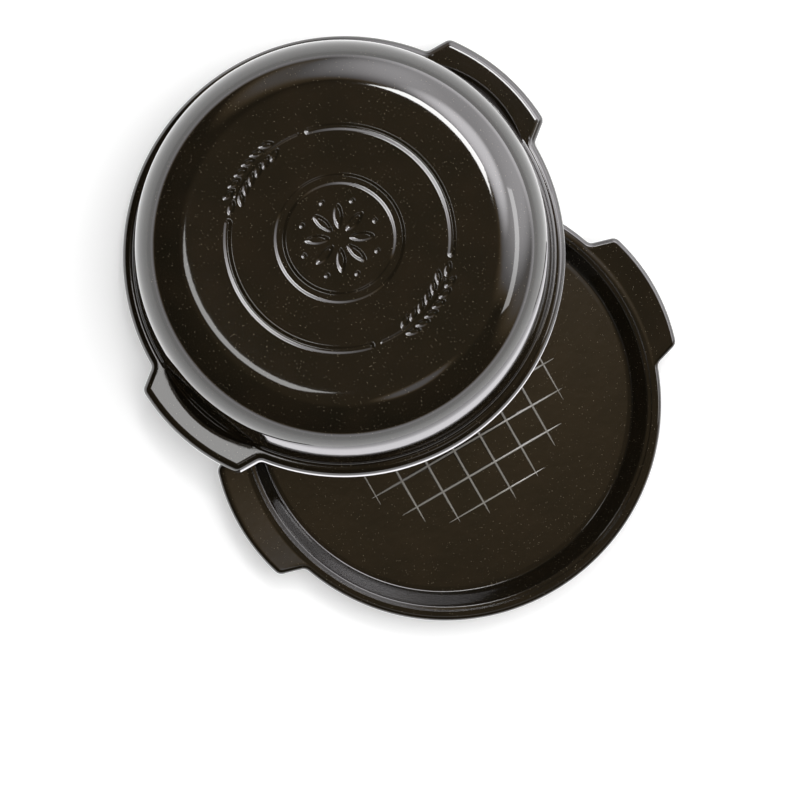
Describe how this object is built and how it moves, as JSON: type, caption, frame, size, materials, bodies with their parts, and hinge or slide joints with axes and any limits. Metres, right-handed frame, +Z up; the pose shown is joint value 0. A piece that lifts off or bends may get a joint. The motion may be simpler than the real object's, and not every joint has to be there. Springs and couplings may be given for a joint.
{
  "type": "bread cloche",
  "caption": "Glazed ceramic bread cloche: a shallow ridged baking dish with ear handles and a deep round cover leaning on its rim.",
  "frame": {"origin": "centre of the dish's foot, on the plane that it stands on", "axes": "+Z up, X through the dish's two ears, +Y towards the side where the lid leans off the dish"},
  "size_m": [0.3327, 0.4141, 0.1466],
  "materials": {
    "glaze": "glossy near-black brown glaze with fine pale specks"
  },
  "bodies": {
    "base": {"base": "glaze"},
    "lid": {"lid": "glaze"}
  },
  "joints": [
    {"name": "lid_lift", "type": "slide", "parent": "base", "child": "lid", "axis": [0, 0, 1], "range_m": [0, 0.16]}
  ]
}
